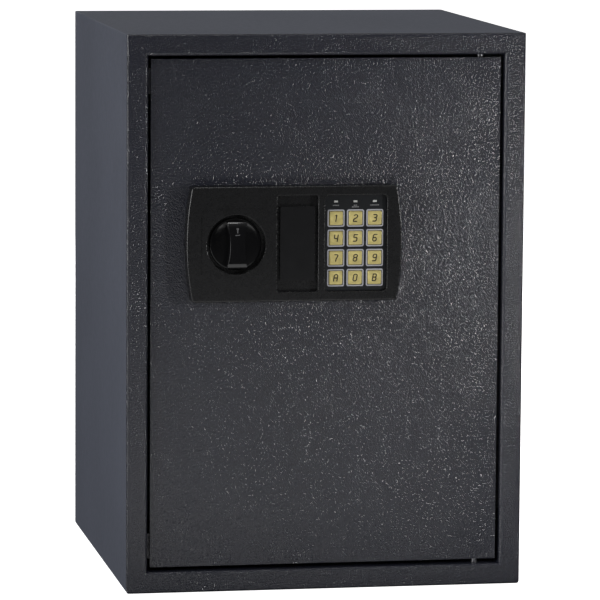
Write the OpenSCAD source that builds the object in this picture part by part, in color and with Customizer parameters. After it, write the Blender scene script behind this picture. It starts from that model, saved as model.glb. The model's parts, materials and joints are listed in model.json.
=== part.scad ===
// Small upright security safe: welded steel cabinet, hinged door with an electronic keypad lock,
// a turning knob that throws two bolts, a blocking solenoid, an override key and a lift-out shelf.
// Millimetres. The origin is the centre of the base's underside, +Z is up and the door faces -Y.
// Depths are measured back from the front plane of the cabinet.

/* [Cabinet] */
// Width of the cabinet
body_w = 360; // [300:1:460]
// Height of the cabinet
body_h = 500; // [410:1:620]
// Depth of the cabinet
body_d = 360; // [290:1:460]
// Thickness of the cabinet sheet
sheet = 2; // [1.5:0.1:3]
// Width of the front frame around the opening
frame_face = 19; // [16:0.5:24]
// Outside bend radius of the opening's edge
bend_r = 3; // [2.5:0.1:4]
// Depth of the return lip behind the frame
lip_depth = 20; // [18:0.5:24]
// Radius of the cabinet's lower corners
corner_low_r = 3; // [1:0.5:6]
// Radius of the cabinet's upper corners
corner_top_r = 1.2; // [0.5:0.1:4]
// Gap left for the weld around the back panel
weld_gap = 0.2; // [0.1:0.1:0.5]

/* [Anchoring] */
// Diameter of the anchor holes
anchor_d = 12; // [8:0.5:14]
// Distance between the two anchor holes of a pair
anchor_pitch = 200; // [120:5:240]
// Height of the rear anchor holes
anchor_back_z = 380; // [300:5:390]
// Distance of the floor anchor holes behind the middle
anchor_floor_y = 20; // [-40:5:60]

/* [Shelf and mat] */
// Height of the top of the shelf ledges
shelf_z = 250; // [150:5:300]
// Thickness of the shelf sheet
shelf_t = 1.5; // [1:0.1:3]
// Depth of the shelf's front fold
shelf_fold = 14; // [8:1:25]
// Distance of the shelf behind the front plane
shelf_front = 75; // [70:1:100]
// Side clearance of the shelf
shelf_gap = 1.5; // [0.5:0.1:3]
// Width of a shelf ledge
ledge_w = 14; // [8:1:25]
// Thickness of the felt mat
mat_t = 3; // [1:0.5:5]

/* [Door] */
// Thickness of the door plate
door_t = 4; // [3:0.1:6]
// How far the door's face sits behind the frame
door_recess = 5; // [3:0.5:8]
// Gap beside and above the door
door_gap = 3; // [2.5:0.1:5]
// Gap under the door
door_gap_low = 4; // [2.5:0.1:6]
// Hinge pin's distance from the door's edge
hinge_inset = 17.2; // [14:0.1:22]
// Hinge pin's distance behind the door's face
hinge_back = 8; // [6:0.1:9]
// Diameter of the hinge pins
hinge_pin_d = 6; // [4:0.5:8]
// Radial clearance of a running fit
run_fit = 0.05; // [0.02:0.01:0.1]

/* [Bolt work] */
// Diameter of the locking bolts
bolt_d = 18; // [14:0.5:22]
// Length of the locking bolts
bolt_l = 64; // [60:1:80]
// Half the distance between the two bolts
bolt_half = 110; // [80:1:125]
// Throw of the bolts
throw = 15; // [10:0.5:18]
// Thickness of the bolt carriage
carriage_t = 3; // [2:0.5:5]
// Radial clearance around a sliding bolt
slide_fit = 0.3; // [0.1:0.05:0.5]
// Width of the bolt guide channel
channel_w = 22; // [16:1:30]
// Turn of the knob that throws the bolts
knob_turn = 60; // [50:1:70]
// Diameter of the cam's drive pin
cam_pin_d = 6; // [4:0.5:8]
// Diameter of the knob spindle
spindle_d = 10; // [8:0.5:12]

/* [Lock panel] */
// Width of the lock panel at half height
panel_w = 194.6; // [180:0.2:220]
// Height of the lock panel
panel_h = 103; // [96:0.5:120]
// How far the panel stands out from the door
panel_t = 14; // [12:0.5:18]
// How far the panel's ends bulge
panel_bulge = 5; // [2:0.5:12]
// Corner radius of the panel
panel_corner_r = 3; // [1:0.5:8]
// Wall thickness of the panel
panel_wall = 2; // [1.5:0.1:3]
// Panel centre's distance from the door's lock-side edge
panel_from_edge = 127.5; // [120:0.5:140]
// Panel centre's distance below the cabinet's top
panel_from_top = 186; // [160:1:210]
// Diameter of the recess around the knob
knob_dish_d = 53; // [50:0.5:60]
// Diameter of the knob's disc
knob_d = 47; // [40:0.5:49]
// Length of the knob's grip bar
grip_l = 44; // [36:0.5:46]
// Width of the grip bar's ends
grip_end_w = 20; // [16:0.5:24]
// Width of the grip bar's waist
grip_waist_w = 13; // [9:0.5:16]
// How far the grip bar stands out from the panel
grip_proud = 7; // [4:0.5:12]
// Width of the channel over the override lock
slot_w = 37.2; // [34:0.2:42]
// Height of the channel and of the keypad recess
slot_h = 86.5; // [80:0.5:92]
// Width of the override key's cover
cover_w = 31.2; // [26:0.2:33]
// Height of the override key's cover
cover_h = 66.2; // [50:0.2:80]

/* [Keypad] */
// Width of the keypad recess
pad_w = 56.6; // [54:0.2:64]
// Side of a key
key_w = 12; // [9:0.1:13]
// Distance between the keys' columns
key_dx = 17.6; // [16.4:0.1:18.6]
// Distance between the keys' rows
key_dz = 17.8; // [16.4:0.1:18.6]
// Outer side of the frame around a key
key_frame_w = 15.5; // [14.5:0.1:16]
// Travel of a key
key_travel = 1; // [0.5:0.1:1.2]

/* [Lock electronics] */
// Travel of the solenoid plunger
plunger_travel = 5; // [3:0.5:6]
// Length of a battery cell
cell_l = 50.5; // [44:0.5:60]
// Diameter of a battery cell
cell_d = 14.2; // [10:0.1:16]
// Depth of the cover over the lock mechanism
mech_depth = 49; // [46:0.5:60]
// Sheet thickness of the mechanism cover
mech_sheet = 1.2; // [1:0.1:2]
// Travel of the reset button
reset_travel = 1.5; // [0.5:0.1:2]

/* [Hidden] */
$fn = 96;
key_names = ["1", "2", "3", "4", "5", "6", "7", "8", "9", "a", "0", "b"];

// Front opening and door
open_x = body_w / 2 - frame_face;
door_x = open_x - door_gap;
door_z0 = frame_face + door_gap_low;
door_z1 = body_h - frame_face - door_gap;
door_back = door_recess + door_t;
hinge_x = door_x - hinge_inset;
hinge_y = door_recess + hinge_back;
hinge_plate_t = 3;
hinge_leaf_t = 3;
hinge_half_w = 15;
hinge_leaf_back = hinge_y + hinge_pin_d / 2 + 4;
hinge_leaf_h = 38;

// Lock panel, measured from its centre
panel_x = -door_x + panel_from_edge;
lock_z = body_h - panel_from_top;
panel_front = door_recess - panel_t;
panel_half = panel_h / 2;
panel_arc_r = (panel_half * panel_half + panel_bulge * panel_bulge) / (2 * panel_bulge);
knob_x = panel_x - 52.8;
slot_x = panel_x + 2.5;
pad_x = panel_x + 55.2;
keys_z = lock_z - 4.6;
lamp_z = lock_z + 37;
dish_floor = panel_front + 8.5;
slot_floor = panel_front + 6;
overlay_front = panel_front + 4;
overlay_t = 1.5;
overlay_back = overlay_front + overlay_t;
key_front = overlay_front - 1.2;
key_flange_w = key_w + 2;
key_flange_t = 1;
key_gap = 0.3;
key_hole_w = key_w + 0.8;
key_stem_back = overlay_back + key_gap + key_flange_t + 1.4;
board_front = key_stem_back + key_travel + 0.3;
board_t = 1.6;
board_w = pad_w - 6.6;
board_h = slot_h - 4.5;
pilot_d = 3;
screw_gap = 0.05;
boss_d = 7;
boss_x = panel_w / 2 - 12;
boss_z = panel_half - 7;

// Bolt work, behind the lip
bolt_gap = 1;
bolt_y = lip_depth + bolt_gap + bolt_d / 2;
bolt_flat = 2;
carriage_back = bolt_y - bolt_d / 2 + bolt_flat;
carriage_front = carriage_back - carriage_t;
channel_x0 = -open_x + 7;
channel_x1 = channel_x0 + channel_w;
channel_sheet = 2;
channel_back = bolt_y + bolt_d / 2 + 5;
channel_half = bolt_half + 18;
bolt_tip = -open_x + 4;
mech_x0 = channel_x1 + 1;
carriage_x0 = mech_x0 + mech_sheet + throw + 2.8;
carriage_x1 = knob_x + 20;
carriage_half = bolt_half + 12;
bolt_screw_x = [carriage_x0 + 6, carriage_x0 + 14];
bolt_screw_d = 5;
cam_r = throw / 2 / sin(knob_turn / 2);
cam_pin_x = knob_x + throw / 2;
cam_pin_z = lock_z + cam_r * cos(knob_turn / 2);
bush_flange_t = 1.5;
cam_front = door_back + bush_flange_t + 0.5;
cam_t = 4;
clip_t = 1;
spindle_back = cam_front + cam_t + 0.4 + clip_t + 1.6;
stud_z = bolt_half / 2;
stud_d = 6;
stud_x = carriage_x0 + 20;
slot_clear = 0.3;

// Blocking solenoid and the carriage's tooth
tooth_h = plunger_travel;
tooth_land = 3;
tooth_ramp = 5;
tip_d = 5;
horn_z0 = lock_z + 24;
horn_z1 = lock_z + 34;
plunger_x = slot_x - 13.5;
tooth_x = plunger_x + tip_d / 2 + 1 + tooth_ramp;
plunger_y = (carriage_front + carriage_back) / 2;
tip_z = horn_z1 + tooth_h + 0.6;
collar_z = tip_z + 6.4;
collar_t = 1.5;
collar_d = 14;
plunger_d = 8;
spring_h = 6.5;
solenoid_z0 = collar_z + collar_t + spring_h;
solenoid_z1 = solenoid_z0 + 26;
solenoid_half = 12;
solenoid_sheet = 1.5;

// Override lock
override_z = lock_z + 12;
barrel_d = 19;
plug_d = 12;
barrel_back = carriage_back + 1;
arm_front = carriage_back + 2;
arm_t = 2.5;
arm_end_r = 4;
arm_dx = plunger_x - slot_x;
arm_dz = collar_z - arm_end_r - 1 - override_z;
arm_len = sqrt(arm_dx * arm_dx + arm_dz * arm_dz);
arm_angle = atan2(arm_dz, arm_dx) + 90;

// Mechanism cover and what is on it
mech_back = door_back + mech_depth;
mech_x1 = hinge_x - 35.8;
mech_half = bolt_half + 14;
mech_tab = 14;
mech_tab_x = [mech_x0 + 30, mech_x1 - 24];
cell_pitch = cell_d + 1.2;
tray_wall = 1.6;
tray_w = 4 * cell_pitch + 2 * tray_wall;
tray_h = cell_l + 4 + 2 * tray_wall;
tray_x1 = mech_x1 - mech_sheet - 3;
tray_x0 = tray_x1 - tray_w;
tray_z0 = lock_z - 10;
tray_front = mech_back - mech_sheet - cell_d - 5;
lid_t = 2.4;
lid_gap = 0.3;
lid_y = mech_back - lid_t / 2;
lid_z0 = tray_z0 + tray_wall + lid_gap;
lid_axis_z = lid_z0 + lid_t / 2;
lug_w = 4;
reset_x = mech_x1 - 45;
reset_z = lock_z - 90;

function back(depth) = depth - body_d / 2;

// Extrudes an outline drawn in X and Z between two depths
module slab(y0, y1) {
    translate([0, back(y1), 0]) rotate([90, 0, 0]) linear_extrude(y1 - y0) children();
}

module round_rod(x, z, d, y0, y1) {
    slab(y0, y1) translate([x, z]) circle(d = d);
}

// Cylinder along X at a depth and height
module cross_rod(x0, x1, depth, z, d) {
    translate([x0, back(depth), z]) rotate([0, 90, 0]) cylinder(d = d, h = x1 - x0);
}

module upright_rod(x, depth, z0, z1, d) {
    translate([x, back(depth), z0]) cylinder(d = d, h = z1 - z0);
}

module rect(x0, z0, x1, z1) {
    translate([x0, z0]) square([x1 - x0, z1 - z0]);
}

module corner_cut(r) {
    difference() {
        translate([-1, -1]) square(r + 1);
        translate([r, r]) circle(r);
    }
}

// Rectangle with its own radius at the lower and at the upper corners
module rounded_rect(x0, z0, x1, z1, r_low, r_top) {
    difference() {
        rect(x0, z0, x1, z1);
        translate([x0, z0]) corner_cut(r_low);
        translate([x1, z0]) mirror([1, 0]) corner_cut(r_low);
        translate([x0, z1]) mirror([0, 1]) corner_cut(r_top);
        translate([x1, z1]) mirror([1, 0]) mirror([0, 1]) corner_cut(r_top);
    }
}

module centred_rect(x, z, w, h, r) {
    rounded_rect(x - w / 2, z - h / 2, x + w / 2, z + h / 2, r, r);
}

module both_sides() {
    children();
    mirror([1, 0, 0]) children();
}

// ---- cabinet ----

module cabinet_outline(inset) {
    rounded_rect(
        -body_w / 2 + inset, inset, body_w / 2 - inset, body_h - inset,
        max(corner_low_r - inset, 0.4), max(corner_top_r - inset, 0.4)
    );
}

module anchor_holes_floor(d) {
    for (x = [-anchor_pitch / 2, anchor_pitch / 2])
        translate([x, anchor_floor_y, -1]) cylinder(d = d, h = sheet + mat_t + 2);
}

module body_shell() {
    color("#4b4e58") difference() {
        slab(sheet, body_d) difference() {
            cabinet_outline(0);
            cabinet_outline(sheet);
        }
        anchor_holes_floor(anchor_d);
    }
}

// Section of the front frame: u runs inward from the outer edge, v runs back
module frame_section() {
    intersection() {
        translate([sheet, sheet]) circle(sheet);
        square(sheet);
    }
    translate([sheet, 0]) square([frame_face - bend_r - sheet, sheet]);
    intersection() {
        translate([frame_face - bend_r, bend_r]) difference() {
            circle(bend_r);
            circle(bend_r - sheet);
        }
        translate([frame_face - bend_r, 0]) square(bend_r);
    }
    translate([frame_face - sheet, bend_r]) square([sheet, lip_depth - bend_r]);
}

module frame_upright() {
    intersection() {
        translate([-body_w / 2, -body_d / 2, 0]) linear_extrude(body_h) frame_section();
        slab(-1, lip_depth + 1) polygon([
            [-body_w / 2, 0], [-body_w / 2 + frame_face, frame_face],
            [-body_w / 2 + frame_face, body_h - frame_face], [-body_w / 2, body_h]
        ]);
    }
}

module frame_sill() {
    intersection() {
        translate([body_w / 2, -body_d / 2, 0]) rotate([0, -90, 0]) linear_extrude(body_w) frame_section();
        slab(-1, lip_depth + 1) polygon([
            [-body_w / 2, 0], [body_w / 2, 0],
            [body_w / 2 - frame_face, frame_face], [-body_w / 2 + frame_face, frame_face]
        ]);
    }
}

module hinge_bores() {
    upright_rod(hinge_x, hinge_y, 1, door_z0 - 1, hinge_pin_d + 2 * run_fit);
    upright_rod(hinge_x, hinge_y, door_z1 + 1, body_h - 1, hinge_pin_d + 2 * run_fit);
}

module front_frame() {
    color("#34363b") difference() {
        intersection() {
            union() {
                both_sides() frame_upright();
                frame_sill();
                translate([0, 0, body_h]) mirror([0, 0, 1]) frame_sill();
            }
            slab(-1, lip_depth + 1) cabinet_outline(0);
        }
        hinge_bores();
    }
}

module back_panel() {
    color("#4b4e58") difference() {
        slab(body_d - sheet, body_d) cabinet_outline(sheet + weld_gap);
        for (x = [-anchor_pitch / 2, anchor_pitch / 2])
            round_rod(x, anchor_back_z, anchor_d, body_d - sheet - 1, body_d + 1);
    }
}

// Plates under the lower lip and over the upper lip that thicken the hinge bores
module hinge_plates() {
    color("#2f3136") difference() {
        union() {
            for (z = [frame_face - sheet - hinge_plate_t, body_h - frame_face + sheet])
                slab(sheet + 2, lip_depth) rect(hinge_x - 18, z, hinge_x + 18, z + hinge_plate_t);
        }
        hinge_bores();
    }
}

// Welded tabs on the lock side that stop the door as it closes
module door_stops() {
    color("#2f3136") slab(door_back + 0.4, door_back + 3.4) {
        rect(-open_x, frame_face + 11, -open_x + 8, frame_face + 34);
        rect(-open_x, body_h - frame_face - 34, -open_x + 8, body_h - frame_face - 11);
    }
}

module shelf_ledges() {
    inner = body_w / 2 - sheet;
    color("#3c3e45") both_sides() slab(shelf_front + 5, body_d - sheet - 4) {
        rect(inner - shelf_t, shelf_z - 18, inner, shelf_z);
        rect(inner - ledge_w, shelf_z - shelf_t, inner, shelf_z);
    }
}

module floor_mat() {
    color("#2a2b2e") difference() {
        translate([-body_w / 2 + sheet + 6, back(lip_depth + 4), sheet])
            cube([body_w - 2 * sheet - 12, body_d - lip_depth - sheet - 10, mat_t]);
        anchor_holes_floor(anchor_d + 16);
    }
}

module shelf() {
    half = body_w / 2 - sheet - shelf_gap;
    rest_gap = 0.05;
    color("#3c3e45") {
        slab(shelf_front, body_d - sheet - 4)
            rect(-half, shelf_z + rest_gap, half, shelf_z + rest_gap + shelf_t);
        slab(shelf_front, shelf_front + shelf_t)
            rect(-half + 2, shelf_z - shelf_fold, half - 2, shelf_z + rest_gap + shelf_t);
    }
}

// ---- door ----

module panel_screw_places() {
    for (x = [-boss_x, boss_x], z = [-boss_z, boss_z]) translate([panel_x + x, lock_z + z]) children();
}

module cover_screw_places() {
    for (x = mech_tab_x, z = [lock_z - mech_half - mech_tab / 2, lock_z + mech_half + mech_tab / 2])
        translate([x, z]) children();
}

module door_plate() {
    color("#383a40") difference() {
        slab(door_recess, door_back) rect(-door_x, door_z0, door_x, door_z1);
        slab(door_recess - 1, door_back + 1) {
            translate([knob_x, lock_z]) circle(d = spindle_d + 3);
            translate([slot_x, override_z]) circle(d = barrel_d + 0.4);
            translate([pad_x - 14, lock_z - 24]) circle(d = 10);
            panel_screw_places() circle(d = pilot_d + 1);
        }
        slab(door_back - door_t * 0.6, door_back + 1) cover_screw_places() circle(d = 4);
    }
}

// Folded bracket welded to the door: an upright leaf, and a level leaf that carries the pin
module hinge_bracket() {
    difference() {
        union() {
            slab(door_back, door_back + hinge_leaf_t)
                rect(hinge_x - hinge_half_w, 0, hinge_x + hinge_half_w, hinge_leaf_h);
            slab(door_back, hinge_leaf_back)
                rect(hinge_x - hinge_half_w, 0, hinge_x + hinge_half_w, hinge_leaf_t);
        }
        upright_rod(hinge_x, hinge_y, -1, hinge_leaf_t + 6, hinge_pin_d);
    }
}

module hinge_brackets() {
    color("#2f3136") {
        translate([0, 0, door_z0]) hinge_bracket();
        translate([0, 0, door_z1]) mirror([0, 0, 1]) hinge_bracket();
    }
}

module hinge_pins() {
    pin_end = frame_face - sheet - hinge_plate_t - 2;
    color("#b9bbbf") {
        upright_rod(hinge_x, hinge_y, pin_end, door_z0 + hinge_leaf_t + 3, hinge_pin_d);
        upright_rod(hinge_x, hinge_y, door_z1 - hinge_leaf_t - 3, body_h - pin_end, hinge_pin_d);
    }
}

module anti_pry_bar() {
    bar_t = 2.5;
    web_x = hinge_x + 9.2;
    color("#2f3136") {
        slab(door_back, lip_depth + 1 + bar_t)
            rect(web_x, door_z0 + hinge_leaf_h + 4, web_x + bar_t, door_z1 - hinge_leaf_h - 4);
        slab(lip_depth + 1, lip_depth + 1 + bar_t)
            rect(web_x, door_z0 + hinge_leaf_h + 4, open_x + 10, door_z1 - hinge_leaf_h - 4);
    }
}

module bolt_guide_channel() {
    color("#2f3136") difference() {
        slab(door_back, channel_back)
            rect(channel_x0, lock_z - channel_half, channel_x1, lock_z + channel_half);
        slab(door_back - 1, channel_back - channel_sheet)
            rect(
                channel_x0 + channel_sheet, lock_z - channel_half - 1,
                channel_x1 - channel_sheet, lock_z + channel_half + 1
            );
        for (z = [lock_z - bolt_half, lock_z + bolt_half])
            cross_rod(channel_x0 - 1, channel_x1 + 1, bolt_y, z, bolt_d + 2 * slide_fit);
    }
}

module carriage_studs() {
    color("#b9bbbf") for (z = [lock_z - stud_z, lock_z + stud_z]) {
        round_rod(stud_x, z, stud_d + 4, door_back, carriage_front - 0.4);
        round_rod(stud_x, z, stud_d, door_back, carriage_back + 2.4);
        round_rod(stud_x, z, stud_d + 6, carriage_back + 0.4, carriage_back + 2.4);
    }
}

module spindle_bush() {
    color("#a98b4f") difference() {
        union() {
            round_rod(knob_x, lock_z, spindle_d + 3, door_recess, door_back);
            round_rod(knob_x, lock_z, spindle_d + 8, door_back, door_back + bush_flange_t);
        }
        round_rod(knob_x, lock_z, spindle_d + 2 * run_fit, door_recess - 1, door_back + 3);
    }
}

// Outline of the panel: straight top and bottom, ends that are shallow arcs, rounded corners
module panel_outline(inset) {
    offset(r = panel_corner_r, $fn = 32) offset(delta = -panel_corner_r - inset) intersection() {
        centred_rect(panel_x, lock_z, panel_w, panel_h, 0.1);
        translate([panel_x - panel_w / 2 + panel_arc_r, lock_z]) circle(panel_arc_r, $fn = 480);
        translate([panel_x + panel_w / 2 - panel_arc_r, lock_z]) circle(panel_arc_r, $fn = 480);
    }
}

// Shallow line left of and above the knob
module panel_line() {
    line_w = 0.8;
    left = knob_x - 31.5;
    top = lock_z + 32;
    rect(left, lock_z - 26, left + line_w, top - 6);
    rect(left + 6, top - line_w, knob_x + 25, top);
    intersection() {
        translate([left + 6, top - 6]) difference() {
            circle(6);
            circle(6 - line_w);
        }
        rect(left, top - 6, left + 6, top);
    }
}

module lock_panel() {
    cup = 2 * panel_wall;
    color("#1c1d20") difference() {
        union() {
            difference() {
                slab(panel_front, door_recess) panel_outline(0);
                slab(panel_front + panel_wall, door_recess + 1) panel_outline(panel_wall);
            }
            round_rod(knob_x, lock_z, knob_dish_d + cup, panel_front, dish_floor + panel_wall);
            slab(panel_front, slot_floor + panel_wall)
                centred_rect(slot_x, lock_z, slot_w + cup - 1, slot_h + cup, 3);
            slab(panel_front, overlay_back + panel_wall)
                centred_rect(pad_x, lock_z, pad_w + cup, slot_h + cup, 5);
            slab(panel_front + 1, door_recess) panel_screw_places() circle(d = boss_d);
            slab(overlay_back, board_front)
                for (x = [-board_w / 2 + 3, board_w / 2 - 3], z = [-board_h / 2 + 2, board_h / 2 - 2])
                    translate([pad_x + x, lock_z + z]) circle(d = 3);
        }
        round_rod(knob_x, lock_z, knob_dish_d, panel_front - 1, dish_floor);
        round_rod(knob_x, lock_z, spindle_d + 2, dish_floor - 1, dish_floor + 3);
        slab(panel_front - 1, slot_floor) centred_rect(slot_x, lock_z, slot_w, slot_h, 2);
        round_rod(slot_x, override_z, barrel_d + 1, slot_floor - 1, slot_floor + 3);
        for (z = [-cover_h / 2 + 6, cover_h / 2 - 6])
            round_rod(slot_x, lock_z + z, 4 + 2 * slide_fit, slot_floor - 1, slot_floor + 3);
        slab(panel_front - 1, overlay_back) centred_rect(pad_x, lock_z, pad_w, slot_h, 4);
        slab(overlay_back - 1, overlay_back + 3)
            centred_rect(pad_x, keys_z + 2, 2 * key_dx + key_flange_w + 2.4, 3 * key_dz + key_flange_w + 7, 1);
        slab(-1, door_recess + 1) panel_screw_places() circle(d = pilot_d);
        slab(panel_front - 1, panel_front + 0.4) panel_line();
    }
}

module panel_screws() {
    color("#b9bbbf") {
        slab(0, door_back + 1) panel_screw_places() circle(d = pilot_d - 2 * screw_gap);
        slab(door_back, door_back + 2.2) panel_screw_places() circle(d = pilot_d + 3.5);
    }
}

module key_places() {
    for (row = [0:3], col = [0:2])
        translate([pad_x + (col - 1) * key_dx, keys_z + (1.5 - row) * key_dz]) children();
}

module lamp_places() {
    for (col = [-1:1]) translate([pad_x + col * key_dx, lamp_z]) children();
}

module keypad_overlay() {
    color("#26282b") slab(overlay_front, overlay_back) difference() {
        centred_rect(pad_x, lock_z, pad_w - 0.4, slot_h - 0.4, 3.8);
        key_places() centred_rect(0, 0, key_hole_w, key_hole_w, 1.2);
        lamp_places() square([3.7, 1.9], center = true);
    }
}

module key_frames() {
    color("#a8a8ad") slab(overlay_front - 0.5, overlay_front) key_places() difference() {
        centred_rect(0, 0, key_frame_w, key_frame_w, 1.8);
        centred_rect(0, 0, key_frame_w - 2.4, key_frame_w - 2.4, 0.8);
    }
}

module status_lamps() {
    color("#d8d8d0") slab(overlay_front + 0.1, overlay_back) lamp_places() square([3.5, 1.7], center = true);
}

module keypad_board() {
    color("#1f5a34") slab(board_front, board_front + board_t)
        rect(pad_x - board_w / 2, lock_z - board_h / 2, pad_x + board_w / 2, lock_z + board_h / 2);
}

module buzzer() {
    color("#17181a") round_rod(pad_x, lock_z + 10, 12, board_front + board_t, door_recess - 0.3);
}

// One key, numbered from the top left: a square cap with a dished face, a flange that keeps it in, a stem
module key(index) {
    x = pad_x + (index % 3 - 1) * key_dx;
    z = keys_z + (1.5 - floor(index / 3)) * key_dz;
    dish_r = 24;
    dish_sink = 0.5;
    color("#c8be87") difference() {
        union() {
            slab(key_front, overlay_back + key_gap) centred_rect(x, z, key_w, key_w, 1);
            slab(overlay_back + key_gap, overlay_back + key_gap + key_flange_t)
                centred_rect(x, z, key_flange_w, key_flange_w, 1);
            round_rod(x, z, 5, overlay_back + key_gap, key_stem_back);
        }
        translate([x, back(key_front - dish_r + dish_sink), z]) sphere(dish_r);
    }
}

module override_lock_body() {
    color("#b9bbbf") difference() {
        union() {
            round_rod(slot_x, override_z, barrel_d, slot_floor + 1, barrel_back);
            round_rod(slot_x, override_z, barrel_d + 6, door_recess - 2, door_recess);
        }
        round_rod(slot_x, override_z, plug_d + 2 * run_fit, slot_floor, barrel_back + 1);
    }
}

module override_lock_nut() {
    color("#b9bbbf") slab(door_back, door_back + 5) translate([slot_x, override_z]) difference() {
        circle(d = barrel_d + 8, $fn = 6);
        circle(d = barrel_d + 2 * screw_gap);
    }
}

// Folded steel yoke with feet on the door
module solenoid_frame() {
    depth1 = plunger_y + solenoid_half - 2;
    color("#8d9096") difference() {
        union() {
            slab(door_back, depth1) difference() {
                rect(plunger_x - solenoid_half, solenoid_z0, plunger_x + solenoid_half, solenoid_z1);
                rect(
                    plunger_x - solenoid_half + solenoid_sheet, solenoid_z0 + solenoid_sheet,
                    plunger_x + solenoid_half - solenoid_sheet, solenoid_z1 - solenoid_sheet
                );
            }
            slab(door_back, door_back + solenoid_sheet)
                rect(plunger_x - 20, solenoid_z0 + 4, plunger_x + 20, solenoid_z1 - 4);
        }
        upright_rod(plunger_x, plunger_y, solenoid_z0 - 1, solenoid_z0 + 3, plunger_d + 1.2);
    }
}

module solenoid_coil() {
    color("#7a3b1d") difference() {
        upright_rod(plunger_x, plunger_y, solenoid_z0 + solenoid_sheet, solenoid_z1 - solenoid_sheet, 18);
        upright_rod(plunger_x, plunger_y, solenoid_z0 + 1, solenoid_z1 - 5, plunger_d + 0.8);
    }
}

module solenoid_plunger() {
    color("#c9cbd0") {
        upright_rod(plunger_x, plunger_y, tip_z, collar_z, tip_d);
        upright_rod(plunger_x, plunger_y, collar_z, collar_z + collar_t, collar_d);
        upright_rod(plunger_x, plunger_y, collar_z + collar_t, solenoid_z1 - 6, plunger_d);
    }
}

// Points of a round section of the spring, at a turn measured in degrees
function spring_ring(turn, z) = [for (i = [0:7])
    let (r = 5.6 + 0.4 * cos(i * 45)) [r * cos(turn), r * sin(turn), z + 0.4 * sin(i * 45)]];

module plunger_spring() {
    turns = 4;
    steps = turns * 14;
    rise = spring_h - 1;
    rings = [for (s = [0:steps]) spring_ring(s * 360 * turns / steps, rise * s / steps)];
    points = [for (ring = rings) for (p = ring) p];
    walls = [for (s = [0:steps - 1], i = [0:7])
        let (a = s * 8 + i, b = s * 8 + (i + 1) % 8) [a, b, b + 8, a + 8]];
    first = [for (i = [7:-1:0]) i];
    last = [for (i = [0:7]) steps * 8 + i];
    color("#c9cbd0") translate([plunger_x, back(plunger_y), collar_z + collar_t + 0.5])
        polyhedron(points = points, faces = concat(walls, [first, last]), convexity = 8);
}

module mechanism_cover() {
    z0 = lock_z - mech_half;
    z1 = lock_z + mech_half;
    lug_x0 = tray_x0 + tray_wall - lug_w;
    lug_x1 = tray_x1 - tray_wall;
    color("#2f3136") difference() {
        union() {
            difference() {
                slab(door_back, mech_back) rect(mech_x0, z0, mech_x1, z1);
                slab(door_back - 1, mech_back - mech_sheet)
                    rect(mech_x0 + mech_sheet, z0 + mech_sheet, mech_x1 - mech_sheet, z1 - mech_sheet);
            }
            slab(door_back, door_back + mech_sheet)
                for (x = mech_tab_x, z = [z0 - mech_tab, z1]) rect(x - 9, z, x + 9, z + mech_tab);
        }
        for (z = [lock_z - bolt_half, lock_z + bolt_half])
            cross_rod(mech_x0 - 1, mech_x0 + 2, bolt_y, z, bolt_d + 2);
        slab(door_back - 1, door_back + 3) cover_screw_places() circle(d = 4.2);
        slab(tray_front - 1, mech_back + 1)
            rect(tray_x0 + tray_wall, tray_z0 + tray_wall, tray_x1 - tray_wall, tray_z0 + tray_h - tray_wall);
        round_rod(reset_x, reset_z, 7.4, mech_back - 3, mech_back + 1);
        cross_rod(lug_x0, lug_x1 + lug_w, lid_y, lid_axis_z, lid_t + 2 * run_fit);
    }
}

module cover_screws() {
    color("#b9bbbf") {
        slab(door_back - door_t * 0.5, door_back + mech_sheet + 1)
            cover_screw_places() circle(d = 4 - 2 * screw_gap);
        slab(door_back + mech_sheet, door_back + mech_sheet + 2.4) cover_screw_places() circle(d = 8);
    }
}

// Moulded tray behind the cover, with lugs that hold the lid's pins
module battery_tray() {
    tray_back = mech_back - mech_sheet;
    color("#202225") difference() {
        slab(tray_front, tray_back) rect(tray_x0, tray_z0, tray_x1, tray_z0 + tray_h);
        slab(tray_front + tray_wall, tray_back + 1)
            rect(tray_x0 + tray_wall, tray_z0 + tray_wall, tray_x1 - tray_wall, tray_z0 + tray_h - tray_wall);
        cross_rod(
            tray_x0 + tray_wall - lug_w, tray_x1 - tray_wall + lug_w, lid_y, lid_axis_z, lid_t + 2 * run_fit
        );
    }
}

module cell_places() {
    for (i = [0:3]) translate([tray_x0 + tray_wall + cell_pitch * (i + 0.5), 0, 0]) children();
}

module batteries() {
    cell_y = tray_front + tray_wall + 0.4 + cell_d / 2;
    cell_z = tray_z0 + tray_h / 2 - cell_l / 2;
    color("#3b6ea5") cell_places() {
        upright_rod(0, cell_y, cell_z, cell_z + cell_l - 1.2, cell_d);
        upright_rod(0, cell_y, cell_z + cell_l - 1.2, cell_z + cell_l, 5.5);
    }
}

module battery_contacts() {
    z0 = tray_z0 + tray_wall;
    z1 = tray_z0 + tray_h - tray_wall;
    color("#c9cbd0") cell_places() slab(tray_front + tray_wall + 3, tray_front + tray_wall + 11) {
        rect(-4, z0, 4, z0 + 0.6);
        rect(-4, z1 - 0.6, 4, z1);
    }
}

module battery_lid() {
    x0 = tray_x0 + tray_wall + lid_gap;
    x1 = tray_x1 - tray_wall - lid_gap;
    z1 = tray_z0 + tray_h - tray_wall - lid_gap;
    pin_l = 1.2;
    color("#2b2d31") difference() {
        union() {
            slab(mech_back - lid_t, mech_back) rect(x0, lid_axis_z, x1, z1);
            cross_rod(x0, x1, lid_y, lid_axis_z, lid_t);
            cross_rod(x0 - pin_l, x1 + pin_l, lid_y, lid_axis_z, lid_t);
        }
        slab(mech_back - 0.8, mech_back + 1) rect((x0 + x1) / 2 - 8, z1 - 7, (x0 + x1) / 2 + 8, z1 - 4);
    }
}

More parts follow.
